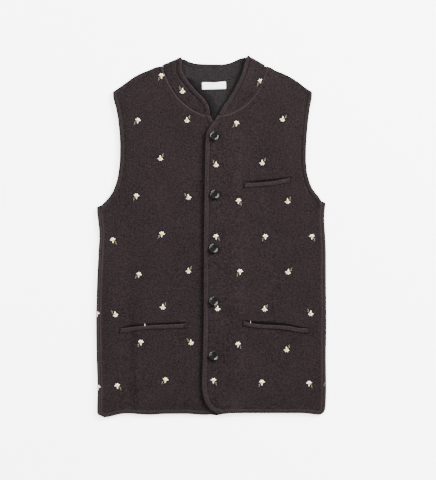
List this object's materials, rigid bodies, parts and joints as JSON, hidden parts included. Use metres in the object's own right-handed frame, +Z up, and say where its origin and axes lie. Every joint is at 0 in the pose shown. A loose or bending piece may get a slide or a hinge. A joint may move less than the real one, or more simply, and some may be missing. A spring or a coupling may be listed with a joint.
{
  "type": "buttoned gilet laid flat",
  "caption": "Sleeveless boiled-wool gilet with a band collar, buttoned front and welt pockets, lying flat on its back panel",
  "frame": {"origin": "middle of the bottom of the garment's box, on the surface that it lies on", "axes": "+X to the right as seen from above, +Y from the hem to the collar, +Z up from the surface"},
  "size_m": [0.4606, 0.7236, 0.0126],
  "materials": {
    "wool_front": "felted wool, heathered, matt",
    "wool_back": "felted wool, plum outside and charcoal inside, matt",
    "wool_collar": "felted wool, plum outside and charcoal inside, matt",
    "button_resin": "polished dark resin",
    "label_tape": "woven white tape, bare"
  },
  "bodies": {
    "root": {"back": "wool_back", "right_front": "wool_front", "left_front": "wool_front", "collar": "wool_collar", "chest_welt": "wool_front", "right_welt": "wool_front", "left_welt": "wool_front", "button_1": "button_resin", "button_2": "button_resin", "button_3": "button_resin", "button_4": "button_resin", "button_5": "button_resin", "label": "label_tape"}
  },
  "joints": []
}
